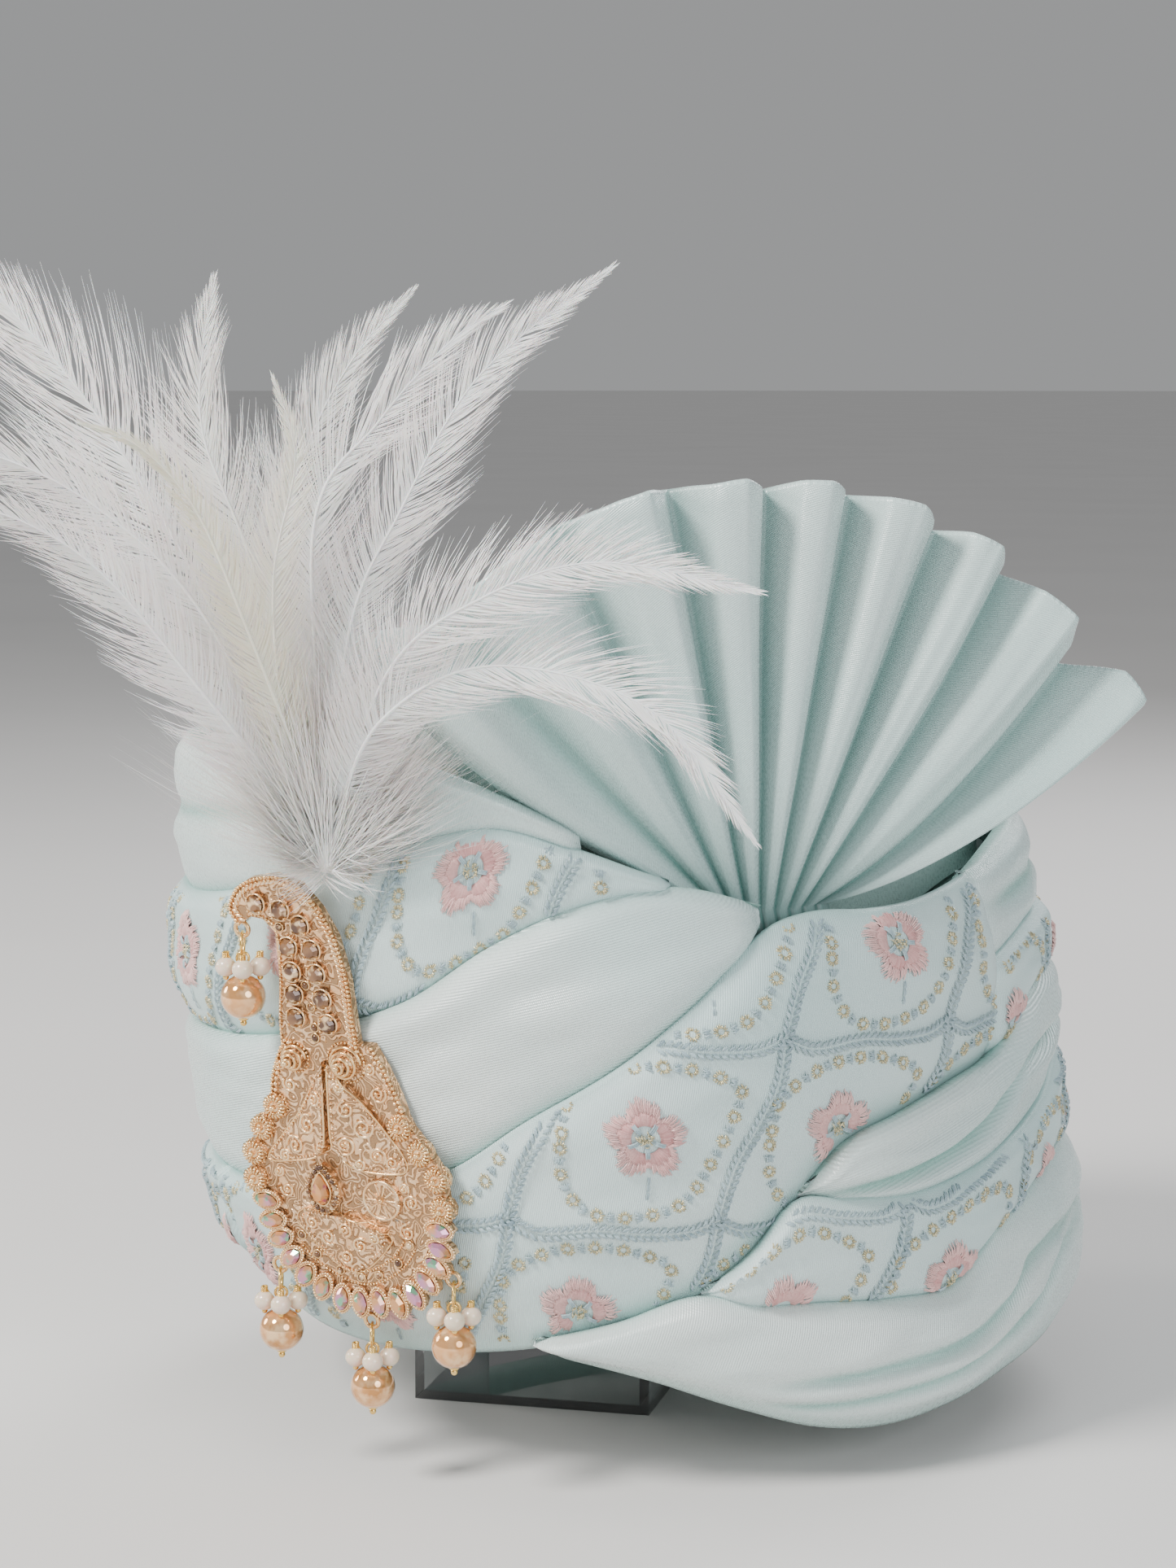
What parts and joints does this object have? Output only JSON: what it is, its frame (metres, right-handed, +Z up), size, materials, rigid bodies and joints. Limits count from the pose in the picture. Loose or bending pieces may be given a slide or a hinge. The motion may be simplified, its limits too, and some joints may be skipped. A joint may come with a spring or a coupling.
{
  "type": "tied turban with feather brooch on a clear riser",
  "caption": "Pre-tied groom's turban of wound satin and embroidered bands with a pleated fan, a jewelled feather brooch and an open head hollow, on a clear riser.",
  "frame": {"origin": "under the middle of the head opening, on the surface that the riser's foot stands on", "axes": "+Z up, -Y the way the wearer faces, +X the wearer's left"},
  "size_m": [0.291, 0.3822, 0.328],
  "materials": {
    "ice_satin": "pale blue-green satin with a soft sheen",
    "embroidered_silk": "pale aqua silk with ogee embroidery",
    "wound_cloth": "wound layers of the same cloth, matt",
    "gold_tissue": "sheer tissue with gold threads",
    "rose_gold": "cast, matt peach-gold with bright edges",
    "gold_wire": "bright gold-plated wire",
    "smoky_stone": "smoky champagne, foil-backed",
    "iridescent_stone": "champagne with an iridescent coat",
    "amber_glass": "amber, polished",
    "pearl": "ivory pearl coat",
    "white_feather": "white feather barbs",
    "clear_acrylic": "clear, polished"
  },
  "bodies": {
    "root": {"wound_core": "wound_cloth", "crown_cap": "ice_satin", "tissue_fold": "gold_tissue", "wrap_top_satin": "ice_satin", "wrap_upper_embroidered": "embroidered_silk", "wrap_middle_satin": "ice_satin", "wrap_inner_embroidered": "embroidered_silk", "wrap_lower_embroidered": "embroidered_silk", "wrap_base_satin": "ice_satin", "pleated_fan": "ice_satin", "brooch_plate": "rose_gold", "feather_plume": "white_feather", "riser_stand": "clear_acrylic", "teardrop_stone": "amber_glass", "round_stone_01": "smoky_stone", "round_stone_02": "smoky_stone", "round_stone_03": "smoky_stone", "round_stone_04": "smoky_stone", "round_stone_05": "smoky_stone", "round_stone_06": "smoky_stone", "round_stone_07": "smoky_stone", "round_stone_08": "smoky_stone", "round_stone_09": "smoky_stone", "round_stone_10": "smoky_stone", "round_stone_11": "smoky_stone", "marquise_stone_01": "iridescent_stone", "marquise_stone_02": "iridescent_stone", "marquise_stone_03": "iridescent_stone", "marquise_stone_04": "iridescent_stone", "marquise_stone_05": "iridescent_stone", "marquise_stone_06": "iridescent_stone", "marquise_stone_07": "iridescent_stone", "marquise_stone_08": "iridescent_stone", "marquise_stone_09": "iridescent_stone", "marquise_stone_10": "iridescent_stone", "marquise_stone_11": "iridescent_stone", "marquise_stone_12": "iridescent_stone", "marquise_stone_13": "iridescent_stone", "marquise_stone_14": "iridescent_stone", "marquise_stone_15": "iridescent_stone", "jump_ring_1": "gold_wire", "jump_ring_2": "gold_wire", "jump_ring_3": "gold_wire", "jump_ring_4": "gold_wire", "glass_drop_1": "amber_glass", "glass_drop_2": "amber_glass", "glass_drop_3": "amber_glass", "glass_drop_4": "amber_glass", "pearl_cluster_1": "pearl", "pearl_cluster_2": "pearl", "pearl_cluster_3": "pearl", "pearl_cluster_4": "pearl"}
  },
  "joints": []
}
